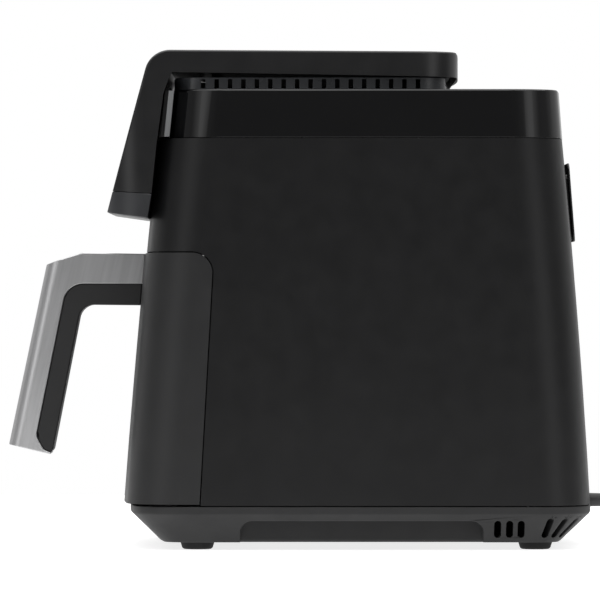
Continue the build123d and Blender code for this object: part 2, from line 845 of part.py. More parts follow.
# Sensor through the roof, fuse on the dome, mains board at the rear, drawer switch behind the liner.
with BuildPart() as temperature_sensor:
    with Locations((*sensor_place, 187)):
        Cylinder(2, 14, align=(Align.CENTER, Align.CENTER, Align.MIN))
    with Locations((*sensor_place, liner_high)):
        Cylinder(4, 1.2, align=(Align.CENTER, Align.CENTER, Align.MIN))
save(temperature_sensor, "temperature_sensor")

with BuildPart() as thermal_fuse:
    with Locations(Location((-45, fan_y, chamber_top + 2.6), (0, 90, 0))):
        Cylinder(2.5, 16)
save(thermal_fuse, "thermal_fuse")

with BuildPart() as mains_board:
    with Locations((0, 160, 96)):
        Box(104, 1.6, 76)
    with Locations((-30, 166.8, 108)):
        Box(22, 12, 20)
    with Locations((6, 165.8, 76)):
        Box(26, 10, 16)
    with Locations(Location((34, 166.8, 112), (90, 0, 0))):
        Cylinder(7, 12)
save(mains_board, "mains_board")

with BuildPart() as drawer_switch:
    with Locations((switch_x, liner_rear + 7, switch_z)):
        Box(20, 14, 16)
    with Locations(Location((switch_x, liner_rear + 3, switch_z), (90, 0, 0))):
        Cylinder(plunger_radius + shaft_clearance, 10, mode=Mode.SUBTRACT)
save(drawer_switch, "drawer_switch")

plunger_front = bucket_rear + 0.4
with BuildPart() as switch_plunger:
    with Locations(Location((switch_x, plunger_front + 7, switch_z), (90, 0, 0))):
        Cylinder(plunger_radius, 14)
save(switch_plunger, "switch_plunger")

# Outlet duct from the heat shield to the rear, and the louvred cover that also spaces the body off a wall.
with BuildPart() as outlet_duct:
    with Locations((0, 159, (outlet_low + outlet_high) / 2)):
        Box(2 * outlet_half - 3, 28, outlet_high - outlet_low - 3)
        Box(2 * outlet_half - 6, 40, outlet_high - outlet_low - 6, mode=Mode.SUBTRACT)
save(outlet_duct, "outlet_duct")

cover_low = (184.6, 204.2)
cover_high = (180.5, 257.0)
cover_lean = atan((cover_low[0] - cover_high[0]) / (cover_high[1] - cover_low[1]))
cover_mid = Vector(0, (cover_low[0] + cover_high[0]) / 2, (cover_low[1] + cover_high[1]) / 2)
cover_plane = Plane(cover_mid, x_dir=(1, 0, 0), z_dir=(0, cos(cover_lean), sin(cover_lean)))
with BuildPart() as outlet_cover:
    with BuildSketch(cover_plane):
        RectangleRounded(2 * outlet_half + 10, cover_high[1] - cover_low[1], 5)
        with GridLocations(0, 8.4, 1, 5):
            SlotOverall(2 * outlet_half - 10, 4, mode=Mode.SUBTRACT)
    extrude(amount=-1.5)
    with BuildSketch(cover_plane.offset(-1.5)):
        with Locations((0, cover_mid.Z - (outlet_low + outlet_high) / 2)):
            RectangleRounded(2 * outlet_half - 1, outlet_high - outlet_low - 1, 3.8)
            RectangleRounded(2 * outlet_half - 4, outlet_high - outlet_low - 4, 2.3, mode=Mode.SUBTRACT)
    extrude(amount=-6)
save(outlet_cover, "outlet_cover")

# ---------------------------------------------------------------- mains lead

# Strain relief: tapered sleeve gripped where the shell meets the base.
relief_start = cord_exit_y - 8
relief_end = cord_exit_y + relief_length
with BuildPart() as strain_relief:
    with BuildSketch(Plane.XZ.offset(-relief_start)):
        with Locations((0, cord_exit_z)):
            Circle(sleeve_radius)
    with BuildSketch(Plane.XZ.offset(-relief_end)):
        with Locations((0, cord_exit_z)):
            Circle(4.1)
    loft()
    with Locations(Location((0, relief_start - 1, cord_exit_z), (90, 0, 0))):
        Cylinder(6.8, 3)
save(strain_relief, "strain_relief")


def corner_radii(points):
    """The largest tangent arc that each corner of a route has room for."""
    radii = []
    for before, here, after in zip(points, points[1:], points[2:]):
        run_in = Vector(*here) - Vector(*before)
        run_out = Vector(*after) - Vector(*here)
        turn = radians(run_in.get_angle(run_out))
        radii.append(0.45 * min(run_in.length, run_out.length) / tan(turn / 2))
    return radii


def cord_tube(points, name):
    """Round tube along a route of straight runs and tangent arcs."""
    radii = corner_radii(points)
    with BuildPart() as tube:
        with BuildLine() as path:
            FilletPolyline(*points, radius=radii)
        with BuildSketch(Plane(path.line @ 0, z_dir=path.line % 0)):
            Circle(cord_radius)
        sweep(path=path.line)
    length = sum(edge.length for edge in path.edges())
    print(name, "radii", [round(r, 1) for r in radii], "length", round(length, 1))
    print(name, "volume over section x length", tube.part.volume / (pi * cord_radius**2 * length))
    save(tube, name)


# The lead leaves level, sinks to the floor behind the body and runs into the coil's rearmost point.
cord_route = [
    (0, relief_end, cord_exit_z),
    (0, 244, cord_exit_z),
    (-4, 268, 19),
    (-18, 290, 7.5),
    (-42, 300, 3.6),
    (-60, 301, 3.6),
]
tail_route = [(-60, 300, 10.6), (-74, 300, 11.6), (-87, 300, 16.4), (-98, 300, 18.6)]
cord_tube(cord_route, "power_cord")
cord_tube(tail_route, "cord_tail")

with BuildPart() as cord_coil:
    with Locations((*coil_centre, 0.1)):
        Cylinder(coil_radius + 7, coil_high, align=(Align.CENTER, Align.CENTER, Align.MIN))
    fillet(cord_coil.edges(), 3)
    with Locations((*coil_centre, 0)):
        Cylinder(coil_radius - 7, 40, mode=Mode.SUBTRACT)
save(cord_coil, "cord_coil")

# Plug: round earthed body lying on its side, with a ribbed sleeve and two pins.
plug_z = 18.6
plug_sections = ((-98, 4.6), (-116, 7.0), (-120, 12.0), (-130, 16.0), (-138, 18.4), (-152, 18.4))
with BuildPart() as plug_body:
    with BuildSketch(Plane.XZ.offset(-300)):
        with BuildLine():
            Polyline(
                (plug_sections[0][0], plug_z),
                *[(x, plug_z + r) for x, r in plug_sections],
                (plug_sections[-1][0], plug_z),
                close=True,
            )
        make_face()
    revolve(axis=Axis((0, 300, plug_z), (1, 0, 0)))
save(plug_body, "plug_body")

with BuildPart() as plug_pins:
    with Locations((0, 300, plug_z)):
        for offset_y in (-9.5, 9.5):
            with Locations(Location((plug_sections[-1][0] - 9.5, offset_y, 0), (0, 90, 0))):
                Cylinder(2.4, 19)
save(plug_pins, "plug_pins")
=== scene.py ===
from math import cos, hypot, pi, radians, sin

import bmesh
import bpy
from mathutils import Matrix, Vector


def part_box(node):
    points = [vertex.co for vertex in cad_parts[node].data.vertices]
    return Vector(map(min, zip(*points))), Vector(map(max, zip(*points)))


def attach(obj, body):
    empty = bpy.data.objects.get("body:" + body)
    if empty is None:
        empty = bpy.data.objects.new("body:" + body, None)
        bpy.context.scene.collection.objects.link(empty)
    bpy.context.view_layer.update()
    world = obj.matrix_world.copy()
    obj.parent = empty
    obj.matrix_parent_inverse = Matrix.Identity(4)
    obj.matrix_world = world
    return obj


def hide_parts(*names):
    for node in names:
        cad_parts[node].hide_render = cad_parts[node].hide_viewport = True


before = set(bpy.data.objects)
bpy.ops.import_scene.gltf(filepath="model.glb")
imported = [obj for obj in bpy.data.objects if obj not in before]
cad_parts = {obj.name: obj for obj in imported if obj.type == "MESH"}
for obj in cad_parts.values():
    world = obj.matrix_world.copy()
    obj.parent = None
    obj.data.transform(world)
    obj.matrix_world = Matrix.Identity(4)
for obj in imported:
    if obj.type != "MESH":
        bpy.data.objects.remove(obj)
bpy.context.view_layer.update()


# Studio: white paper floor, a surround of pale panels, one wide soft lamp overhead and two soft boxes.
# The surround is dim straight behind the camera and bright beside it, so black plastic keeps its depth
# and a soft highlight runs down each rounded corner.
def linear(hex_colour):
    """sRGB hex colour to linear RGBA."""
    shades = [int(hex_colour[i : i + 2], 16) / 255 for i in (1, 3, 5)]
    return [s / 12.92 if s <= 0.04045 else ((s + 0.055) / 1.055) ** 2.4 for s in shades] + [1.0]


def add_node(tree, kind, inputs=(), **settings):
    """Add one shader node. inputs maps socket names or numbers to values or to the sockets linked in."""
    new = tree.nodes.new("ShaderNode" + kind)
    for name, value in settings.items():
        setattr(new, name, value)
    for socket, value in dict(inputs).items():
        if isinstance(value, bpy.types.NodeSocket):
            tree.links.new(value, new.inputs[socket])
        else:
            new.inputs[socket].default_value = value
    return new


def show(name, data):
    """Put a mesh, curve, lamp or camera in the scene as an object."""
    thing = bpy.data.objects.new(name, data)
    bpy.context.scene.collection.objects.link(thing)
    return thing


bpy.context.scene.view_settings.view_transform = "Standard"
surround = bpy.data.worlds.new("studio_surround")
surround.use_nodes = True
sky = surround.node_tree
sky.nodes.clear()
heading = add_node(sky, "SeparateXYZ", {0: add_node(sky, "TexCoord").outputs["Generated"]}).outputs["X"]
swing = add_node(sky, "MapRange", {"Value": heading, "From Min": -1.0, "From Max": 1.0})
panels = add_node(sky, "ValToRGB", {0: swing.outputs[0]})
panels.color_ramp.interpolation = "EASE"
# Place in the ramp is 0 behind the object and 1 towards the camera: (place, brightness).
around = ((0.0, 0.5), (0.27, 0.5), (0.48, 0.24), (0.66, 0.25), (0.86, 0.85), (0.96, 0.24), (1.0, 0.17))
stops = panels.color_ramp.elements
for _ in around[2:]:
    stops.new(0.5)
for stop, (spot, bright) in zip(stops, around):
    stop.position = spot
    stop.color = (bright, bright, bright, 1)
lighting = add_node(sky, "Background", {"Color": panels.outputs[0], "Strength": 1.0})
backdrop = add_node(sky, "Background", {"Color": (1, 1, 1, 1), "Strength": 1.0})
seen = add_node(sky, "LightPath").outputs["Is Camera Ray"]
both = add_node(sky, "MixShader", {0: seen, 1: lighting.outputs[0], 2: backdrop.outputs[0]})
add_node(sky, "OutputWorld", {"Surface": both.outputs[0]})
bpy.context.scene.world = surround

floor_half = 1.1
floor_mesh = bpy.data.meshes.new("studio_floor")
corners = [(x * floor_half, y * floor_half, 0) for x, y in ((-1, -1), (1, -1), (1, 1), (-1, 1))]
floor_mesh.from_pydata(corners, [], [(0, 1, 2, 3)])
studio_floor = show("studio_floor", floor_mesh)
# The paper glows a little, as a sheet lit from below does, so the floor stays near white.
paper = bpy.data.materials.new("matt_white_paper")
paper.use_nodes = True
tree = paper.node_tree
shader = tree.nodes["Principled BSDF"]
tone = add_node(tree, "TexNoise", {"Scale": 3.0, "Detail": 2.0})
tint = add_node(tree, "ValToRGB", {0: tone.outputs[0]})
tint.color_ramp.elements[0].color = linear("#b4b4b4")
tint.color_ramp.elements[1].color = linear("#bababa")
tree.links.new(tint.outputs[0], shader.inputs["Base Color"])
shader.inputs["Roughness"].default_value = 0.9
shader.inputs["Emission Color"].default_value = (1, 1, 1, 1)
shader.inputs["Emission Strength"].default_value = 0.78
floor_mesh.materials.append(paper)

overhead = bpy.data.lights.new("overhead", "SUN")
overhead.energy = 3.2
overhead.angle = radians(100)
show("overhead", overhead)
lit_height = 0.17
soft_boxes = (
    # name, place, width and height, power
    ("front_box", (2.5, -1.9, 0.7), (1.2, 1.6), 1.5),
    ("rear_box", (2.3, 2.1, 0.8), (1.1, 1.6), 1.2),
)
for name, place, (wide, tall), power in soft_boxes:
    lamp = bpy.data.lights.new(name, "AREA")
    lamp.shape = "RECTANGLE"
    lamp.size = wide
    lamp.size_y = tall
    lamp.energy = power
    box = show(name, lamp)
    box.location = place
    box.rotation_euler = (Vector((0, 0, lit_height)) - Vector(place)).to_track_quat("-Z", "Y").to_euler()

# Camera: a long lens far away, square to the body's right side and level with its middle,
# so that upright edges stay upright.
camera = bpy.data.cameras.new("camera")
camera.sensor_width = 36.0
camera.lens = 397.6
camera.clip_end = 200.0
camera_stand = show("camera", camera)
camera_stand.location = (4.5, 0.0, 0.1651)
camera_stand.rotation_euler = (radians(90), 0, radians(90))
bpy.context.scene.camera = camera_stand


# Mains lead: 7 mm round two-core cable with an extruded black PVC sheath, smooth and satin.
# It leaves the rear wall, sinks to the floor and is put away in a coil of three turns behind the body.
mm = 0.001


def new_finish(name, **constants):
    """Start a material: its tree, its shader with constant values set, and the object's own coordinates."""
    finish = bpy.data.materials.new(name)
    finish.use_nodes = True
    tree = finish.node_tree
    shader = tree.nodes["Principled BSDF"]
    for socket, value in constants.items():
        shader.inputs[socket.replace("_", " ")].default_value = value
    place = add_node(tree, "TexCoord").outputs["Object"]
    return finish, tree, shader, place


def join_up(tree, shader, colour, sheen, relief):
    """Link a finish's colour, roughness and relief nodes to its shader."""
    tree.links.new(colour.outputs[0], shader.inputs["Base Color"])
    tree.links.new(sheen.outputs[0], shader.inputs["Roughness"])
    tree.links.new(relief.outputs[0], shader.inputs["Normal"])


def moulded(name, dark, light, rough, grain, depth, **constants):
    """Moulded surface: flow variation in its colour, the fine grain of its tool, an uneven sheen.

    dark and light are the colour's two shades, rough the roughness range, grain and depth in mm.
    A real tool's grain is about 0.05 mm wide, which is too fine to show, so grain is given coarser.
    """
    flow_size, wear_size = 45.45, 16.67
    finish, tree, shader, place = new_finish(name, **constants)
    flow = add_node(tree, "TexNoise", {"Vector": place, "Scale": 1 / (flow_size * mm), "Detail": 3.0})
    shade = add_node(tree, "ValToRGB", {0: flow.outputs[0]})
    shade.color_ramp.elements[0].position = 0.3
    shade.color_ramp.elements[0].color = linear(dark)
    shade.color_ramp.elements[1].position = 0.7
    shade.color_ramp.elements[1].color = linear(light)
    pits = add_node(tree, "TexNoise", {"Vector": place, "Scale": 1 / (grain * mm), "Detail": 2.0})
    wear = add_node(tree, "TexNoise", {"Vector": place, "Scale": 1 / (wear_size * mm), "Detail": 4.0})
    sheen = add_node(
        tree, "MapRange",
        {"Value": wear.outputs[0], "From Min": 0.3, "From Max": 0.7, "To Min": rough[0], "To Max": rough[1]},
    )
    relief = add_node(tree, "Bump", {"Height": pits.outputs[0], "Distance": depth * mm, "Strength": 1.0})
    join_up(tree, shader, shade, sheen, relief)
    return finish


pvc_black = moulded("extruded_black_pvc", "#1a1a1b", "#222223", (0.42, 0.56), 1.6, 0.05, IOR=1.53)
lead_diameter = 7.0
exit_y = 196.2
exit_z = 29.5
route = [
    (0, 223.2, exit_z),
    (0, 244, exit_z),
    (-4, 268, 19),
    (-18, 290, 8),
    (-42, 301.5, 4.3),
    (-58, 304.6, 4.3),
]

# The coil: an outer turn and an inner one on the floor, then a third that climbs onto them.
# Each stage starts at so many degrees wound.
coil_centre = (-60.0, 262.0)
outer_turn = 41.5
inner_turn = outer_turn - lead_diameter
first_layer = 4.3
second_layer = first_layer + lead_diameter
step_in, inner_start = 300, 360
climb, climb_end, spread_end = 630, 705, 985
turn_points = 14
# A quadratic spline cuts inside its points on a circle by this much.
spline_gain = 1 / cos(pi / turn_points) ** 2
for step in range(1, 3 * turn_points):
    wound = 360 * step / turn_points
    radius, height = outer_turn, first_layer
    if step_in <= wound < inner_start:
        radius -= lead_diameter * (wound - step_in) / (inner_start - step_in)
    elif inner_start <= wound < climb:
        radius = inner_turn
    elif climb <= wound < climb_end:
        radius = inner_turn
        height += lead_diameter * (wound - climb) / (climb_end - climb)
    elif climb_end <= wound:
        radius = inner_turn + lead_diameter * min(1, (wound - climb_end) / (spread_end - climb_end))
        height = second_layer
    radius *= spline_gain
    angle = radians(90 + wound)
    route.append((coil_centre[0] + radius * cos(angle), coil_centre[1] + radius * sin(angle), height))
route += [
    (-60, 304.6, 11.3),
    (-74, 302.6, 12.2),
    (-87, 300.2, 16.4),
    (-98, 300, 18.6),
    (-104, 300, 18.6),
]

lead_curve = bpy.data.curves.new("mains_lead", "CURVE")
lead_curve.dimensions = "3D"
line = lead_curve.splines.new("NURBS")
line.points.add(len(route) - 1)
for point, spot in zip(line.points, route):
    point.co = (*[c * mm for c in spot], 1.0)
line.order_u = 3
line.use_endpoint_u = True
line.resolution_u = 10
lead_curve.bevel_depth = lead_diameter / 2 * mm
lead_curve.bevel_resolution = 5
lead_curve.use_fill_caps = True
lead_curve.materials.append(pvc_black)
mains_lead = show("mains_lead", lead_curve)
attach(mains_lead, "housing")
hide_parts("power_cord", "cord_coil", "cord_tail")


# Cord sleeve: PVC moulded onto the cable, held in the rear wall by a flange inside it.
# Outside it is a slim cone, with four grooves near its end so that it bends gently.
def add_loops(points, faces, loops, closed=False):
    """Join a row of loops of as many points each. Its ends are capped, or joined together if closed."""
    first, count, rows = len(points), len(loops[0]), len(loops)
    for loop in loops:
        points.extend(loop)
    for row in range(rows if closed else rows - 1):
        near = first + row * count
        far = first + (row + 1) % rows * count
        for step in range(count):
            after = (step + 1) % count
            faces.append((near + step, near + after, far + after, far + step))
    if not closed:
        last = first + (rows - 1) * count
        faces.append(tuple(range(first, first + count)))
        faces.append(tuple(range(last, last + count)))


def make_mesh(name, points, faces, finish, smooth=True):
    """A mesh object with one finish, from points in mm, its normals turned outwards."""
    mesh = bpy.data.meshes.new(name)
    mesh.from_pydata([Vector(p) * mm for p in points], [], faces)
    form = bmesh.new()
    form.from_mesh(mesh)
    bmesh.ops.remove_doubles(form, verts=form.verts, dist=0.001 * mm)
    bmesh.ops.recalc_face_normals(form, faces=form.faces)
    form.to_mesh(mesh)
    form.free()
    if smooth:
        mesh.shade_smooth()
    else:
        mesh.shade_flat()
    mesh.materials.append(finish)
    return show(name, mesh)


def turned(name, profile, origin, axis, finish, sides=48):
    """A turned form: profile of (distance along axis, radius) in mm, spun round the axis through origin."""
    way = Vector(axis).normalized()
    out = way.orthogonal().normalized()
    across = way.cross(out)
    turns = [2 * pi * step / sides for step in range(sides)]
    loops = [
        [Vector(origin) + way * along + (out * cos(turn) + across * sin(turn)) * radius for turn in turns]
        for along, radius in profile
    ]
    points, faces = [], []
    add_loops(points, faces, loops)
    return make_mesh(name, points, faces, finish)


sleeve_profile = [(-9.5, 3.6), (-9.5, 6.8), (-6.5, 6.8), (-6.5, 4.65), (0.8, 4.6), (8.0, 4.4)]
groove_start, groove_pitch, groove_deep = 9.0, 4.0, 0.55
for groove in range(4):
    start = groove_start + groove * groove_pitch
    outer = 4.36 - 0.06 * groove
    sleeve_profile += [
        (start, outer - groove_deep),
        (start + 0.9, outer - groove_deep),
        (start + 1.3, outer - 0.08),
        (start + groove_pitch - 0.5, outer - 0.06),
    ]
sleeve_profile += [(25.4, 4.1), (26.6, 4.0), (27.0, 3.55)]
cord_sleeve = turned("cord_sleeve", sleeve_profile, (0, exit_y, exit_z), (0, 1, 0), pvc_black)
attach(cord_sleeve, "housing")
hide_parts("strain_relief")

# Plug: round two-pin plug, moulded in PVC over the cable's end, lying on its side on the floor.
# It has a ribbed neck, a shoulder to grip it by, and a flat face.
plug_start = Vector((-98, 300, 18.6))
plug_profile = [(0.0, 3.55), (0.2, 4.4)]
for rib in range(4):
    start = 1.5 + 4.2 * rib
    outer = 5.0 + 0.55 * rib
    plug_profile += [
        (start, outer - 0.9),
        (start + 1.0, outer - 0.9),
        (start + 1.4, outer),
        (start + 3.8, outer + 0.4),
    ]
plug_profile += [
    (18.4, 7.4),
    (20.2, 9.8),
    (22.4, 12.2),
    (26.0, 14.3),
    (31.0, 15.9),
    (36.0, 17.4),
    (39.5, 18.2),
    (42.0, 18.4),
    (52.4, 18.4),
    (53.4, 18.0),
    (54.0, 17.2),
    (54.0, 0.4),
]
plug = turned("plug_moulding", plug_profile, plug_start, (-1, 0, 0), pvc_black, sides=64)
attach(plug, "housing")
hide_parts("plug_body")

# Plug pins: two turned brass pins, 4.8 mm thick and 19 mm apart, moulded into the plug's face.
# They are nickel-plated, which gives a warm soft shine.
nickel = moulded("nickel_plated_brass", "#b9b4a6", "#cbc7bb", (0.18, 0.3), 1.2, 0.01, Metallic=1.0)
pin_profile = [(0, 2.4), (17.4, 2.4), (18.4, 2.1), (18.9, 1.5), (19.0, 0.2)]
for side, pin_name in ((-1, "plug_pin_low"), (1, "plug_pin_high")):
    pin_root = plug_start + Vector((-54, side * 9.5, 0))
    pin = turned(pin_name, pin_profile, pin_root, (-1, 0, 0), nickel, sides=32)
    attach(pin, "housing")
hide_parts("plug_pins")

# Cord tie: a flat wire in a dark plastic cover, as lamps and kitchen machines are packed with.
# It is looped once round the three turns, and its cover has a dull sheen.
tie_cover = moulded("covered_tie_wire", "#2a2a2c", "#36363a", (0.4, 0.55), 0.8, 0.02)
# The loop seen along the lead: (distance from the coil's centre, height).
tie_loop = [(27.6, 1.2), (29.6, 0.35), (38, 0.3), (46.4, 0.35), (46.9, 1.6), (46.6, 6.8)]
tie_loop += [(44.2, 14.2), (40.5, 16.1), (34.0, 16.1), (30.2, 14.6), (28.0, 9.0)]
tie_half_width = 1.6
tie_thick = 0.6
tie_angle = radians(208)
tie_out = Vector((cos(tie_angle), sin(tie_angle), 0))
tie_along = Vector((-sin(tie_angle), cos(tie_angle), 0))
tie_points = []
tie_faces = []
for step, (reach, height) in enumerate(tie_loop):
    after = (step + 1) % len(tie_loop)
    middle = Vector((*coil_centre, height)) + tie_out * reach
    tie_points += [middle - tie_along * tie_half_width, middle + tie_along * tie_half_width]
    tie_faces.append((2 * step, 2 * step + 1, 2 * after + 1, 2 * after))
cord_tie = make_mesh("cord_tie", tie_points, tie_faces, tie_cover)
smoother = cord_tie.modifiers.new("round", "SUBSURF")
smoother.levels = smoother.render_levels = 2
skin = cord_tie.modifiers.new("thickness", "SOLIDIFY")
skin.thickness = tie_thick * mm
skin.offset = 0.0
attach(cord_tie, "housing")


# Base tray: glass-filled polypropylene moulding under the body, dull and slightly lighter than the shell.
# Its vents, lifting recesses and rim are moulded in, and screws from below hold it to the shell.
def dress(finish, *nodes):
    """Give CAD nodes their finish."""
    for name in nodes:
        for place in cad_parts[name].material_slots:
            place.material = finish


def soften(name, radius):
    """Round a CAD node's sharp edges by a moulding's small radius, in mm."""
    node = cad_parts[name]
    joined = node.modifiers.new("joined", "WELD")
    joined.merge_threshold = 0.001 * mm
    edge = node.modifiers.new("edge_radius", "BEVEL")
    edge.width = radius * mm
    edge.segments = 2
    edge.limit_method = "ANGLE"
    edge.angle_limit = radians(35)
    edge.use_clamp_overlap = False
    shading = node.modifiers.new("shading", "WEIGHTED_NORMAL")
    shading.keep_sharp = True


base_black = moulded(
    "glass_filled_black_polypropylene", "#121213", "#171718", (0.5, 0.62), 1.1, 0.05, IOR=1.49
)
dress(base_black, "base_tray")
soften("base_tray", 0.6)

# Feet: four soft rubber pads, compression-moulded and pressed into the tray.
# Rubber is dull and holds fine dust, so it is mottled and scatters light widely.
foot_rubber = moulded("moulded_black_rubber", "#0d0d0d", "#18181a", (0.75, 0.9), 1.3, 0.06, IOR=1.52)
dress(foot_rubber, "base_feet")

# Screws: thread-forming steel screws, cold-headed and zinc-plated, driven into the mouldings' bosses.
# Zinc plating is a cool, slightly cloudy metal.
zinc = moulded("zinc_plated_steel", "#a9adb0", "#c0c2c2", (0.25, 0.4), 0.9, 0.01, Metallic=1.0)
dress(zinc, "base_screws", "motor_screws", "handle_screws")

# Main shell: one ABS moulding from a spark-eroded tool, which leaves a fine even matt grain.
# It is satin black, so broad soft highlights run down its rounded corners. It drops onto the base tray.
shell_black = moulded(
    "spark_eroded_black_abs", "#070708", "#0a0a0b", (0.36, 0.42), 0.9, 0.01,
    IOR=1.5, Specular_IOR_Level=0.36,
)
dress(shell_black, "main_shell")

# Upper band and deck: one ABS moulding from a polished tool, piano black, clipped onto the shell's rim.
# It mirrors the room, with faint wiping marks.
piano_black = moulded("polished_black_abs", "#040405", "#060607", (0.05, 0.1), 2.5, 0.001, IOR=1.54)
dress(piano_black, "upper_band")
soften("upper_band", 0.35)

# Console neck, drip lip and rear outlet cover: plain black ABS mouldings, a little glossier than the shell.
# The neck joins band and console, the lip hangs at the console's rear, and the cover clips into the wall.
vent_black = moulded("moulded_black_abs", "#0a0a0b", "#0e0e0f", (0.3, 0.4), 1.0, 0.015, IOR=1.53)
dress(vent_black, "console_neck", "drip_lip", "outlet_cover")
soften("outlet_cover", 0.5)

# Intake ring: upright wall of slots that stands on the deck under the console, moulded in dark grey ABS.
# Its tool is smoother than the shell's. Its grey is set lighter as painted light, standing in for the light
# the deck throws up onto the posts in the console's shade.
ring_grey_painted_light = moulded("dark_grey_abs_painted_light", "#46484b", "#56585c", (0.24, 0.34), 0.9, 0.012, IOR=1.53)
dress(ring_grey_painted_light, "air_grille")
soften("air_grille", 0.3)

# Intake ribs: two upright ABS ribs on the deck, before and behind the console's air tray.
# They are moulded there to part the air, taper upwards, and close the straight way through the ring.
deck_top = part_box("upper_band")[1][2] / mm
ribs_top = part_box("air_grille")[1][2] / mm - 0.1
plate_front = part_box("console_plate")[0][1] / mm
plate_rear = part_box("console_plate")[1][1] / mm
past_plate = 4.0
tray_gap = 12.6
front_rib = (plate_front - past_plate, plate_front + tray_gap)
rear_rib = (plate_rear - tray_gap, plate_rear + past_plate)
rib_points = []
rib_faces = []
for front, rear in (front_rib, rear_rib):
    add_loops(
        rib_points,
        rib_faces,
        [
            [(-half, front, height), (half, front, height), (half, rear, height), (-half, rear, height)]
            for height, half in ((deck_top + 0.1, 1.5), (deck_top + 1.4, 1.2), (ribs_top, 0.9))
        ],
    )
intake_ribs = make_mesh("intake_ribs", rib_points, rib_faces, vent_black, smooth=False)
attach(intake_ribs, "housing")

# Console: semi-gloss ABS hood from a satin-polished tool, over the intake and down the front.
# Its top reflects the room softly. Screws from below hold it to the neck.
console_black = moulded("satin_polished_black_abs", "#0f0f10", "#121213", (0.28, 0.34), 1.2, 0.002, IOR=1.53)
dress(console_black, "console_cover")

# Console's lower cap: a separate charcoal ABS moulding that snaps onto the leg's end.
# It is lighter and a little duller than the hood.
trim_charcoal = moulded("moulded_charcoal_abs", "#202123", "#26272a", (0.34, 0.42), 0.8, 0.015, IOR=1.53)
dress(trim_charcoal, "console_trim")
soften("console_trim", 0.5)

# Neck blades: two upright mid-grey ABS strips at the band's front corners, held by the neck's arms.
# Their mid-grey is a painted highlight, standing in for the bright reflection on the band's front corners.
# It shows as a pale line between the leg and the glossy band.
painted_highlight_grey = moulded("grey_abs_painted_highlight", "#626364", "#6e6f70", (0.3, 0.38), 0.8, 0.012, IOR=1.53)
dress(painted_highlight_grey, "neck_blades")

# Touch panel: smoked acrylic sheet, cast and laser-cut, bonded flush into the leg's front.
# It is almost black, with the sharpest reflections on the whole body.
smoked_acrylic = moulded("smoked_acrylic", "#040405", "#050506", (0.03, 0.06), 3.0, 0.0005, IOR=1.49)
dress(smoked_acrylic, "touch_panel")
soften("touch_panel", 0.25)

# Panel printing: white screen-printed ink on the acrylic, a three-digit display over a row of plain symbols.
# The leg's front face leans back; the printing lies in that plane, proud of it by an ink layer.
leg_low = Vector((0, -128.1, 223.2))
leg_high = Vector((0, -99.0, 330.8))
middle_height = 281.0
panel_up = (leg_high - leg_low).normalized()
panel_out = Vector((0, -panel_up.z, panel_up.y))
panel_middle = leg_low + panel_up * (middle_height - leg_low.z) / panel_up.z
ink_back, ink_front = -0.02, 0.06
print_points = []
print_faces = []


def on_panel(outline, lift):
    """Places of an outline's (across, up) points on the panel, lifted off it."""
    start = panel_middle + panel_out * lift
    return [start + Vector((across, 0, 0)) + panel_up * up for across, up in outline]


def print_bar(x, y, wide, tall, turn=0.0):
    """Print a bar with pointed ends, like a display segment, turned by so many degrees."""
    tip = min(wide, tall) / 2
    half_wide, half_tall = wide / 2, tall / 2
    if wide > tall:
        shape = [(-half_wide, 0), (tip - half_wide, -half_tall), (half_wide - tip, -half_tall)]
        shape += [(half_wide, 0), (half_wide - tip, half_tall), (tip - half_wide, half_tall)]
    else:
        shape = [(0, -half_tall), (half_wide, tip - half_tall), (half_wide, half_tall - tip)]
        shape += [(0, half_tall), (-half_wide, half_tall - tip), (-half_wide, tip - half_tall)]
    c, s = cos(radians(turn)), sin(radians(turn))
    outline = [(x + c * u - s * v, y + s * u + c * v) for u, v in shape]
    add_loops(print_points, print_faces, [on_panel(outline, ink_back), on_panel(outline, ink_front)])


def print_circle(x, y, radius, line, steps=36):
    """Print a circle of a given line width."""
    turns = [2 * pi * step / steps for step in range(steps)]
    outer = [(x + radius * cos(turn), y + radius * sin(turn)) for turn in turns]
    inner = [(x + (radius - line) * cos(turn), y + (radius - line) * sin(turn)) for turn in turns]
    loops = [
        on_panel(outer, ink_back),
        on_panel(outer, ink_front),
        on_panel(inner, ink_front),
        on_panel(inner, ink_back),
    ]
    add_loops(print_points, print_faces, loops, closed=True)


digit_y = 15.0
digit_pitch = 15.0
segment_long, segment_line = 8, 1.6
lit_segments = {"0": "abcdef", "1": "bc", "8": "abcdefg"}
flat_segments = {"a": 9, "g": 0, "d": -9}
upright_segments = {"b": (4.6, 4.5), "c": (4.6, -4.5), "e": (-4.6, -4.5), "f": (-4.6, 4.5)}
for place, digit in enumerate("180"):
    x = (place - 1) * digit_pitch
    for segment in lit_segments[digit]:
        if segment in flat_segments:
            print_bar(x, digit_y + flat_segments[segment], segment_long, segment_line)
        else:
            aside, up = upright_segments[segment]
            print_bar(x + aside, digit_y + up, segment_line, segment_long)
print_circle(26.5, 22.5, 1.8, 0.6)

# Seven round symbols: power, less, more, time, fan, heat and light.
symbol_y = -17.0
symbol_pitch = 25.0
symbol_line = 0.8
for place in range(-3, 4):
    print_circle(place * symbol_pitch, symbol_y, 6.4, 0.55)
print_bar(-3 * symbol_pitch, symbol_y + 1.8, symbol_line, 4.6)
print_bar(-2 * symbol_pitch, symbol_y, 5.4, symbol_line)
print_bar(-symbol_pitch, symbol_y, 5.4, symbol_line)
print_bar(-symbol_pitch, symbol_y, symbol_line, 5.4)
print_bar(0, symbol_y + 1.4, symbol_line, 3.4)
print_bar(1.3, symbol_y, 3.2, symbol_line)
for turn in (0, 60, 120):
    print_bar(symbol_pitch, symbol_y, 6.6, symbol_line, turn)
for shift in (-2, 0, 2):
    print_bar(2 * symbol_pitch + shift, symbol_y, symbol_line, 5.0)
print_circle(3 * symbol_pitch, symbol_y, 3.0, symbol_line)
white_ink = moulded("screen_printed_white_ink", "#c9cacb", "#dadbdc", (0.4, 0.55), 0.9, 0.004)
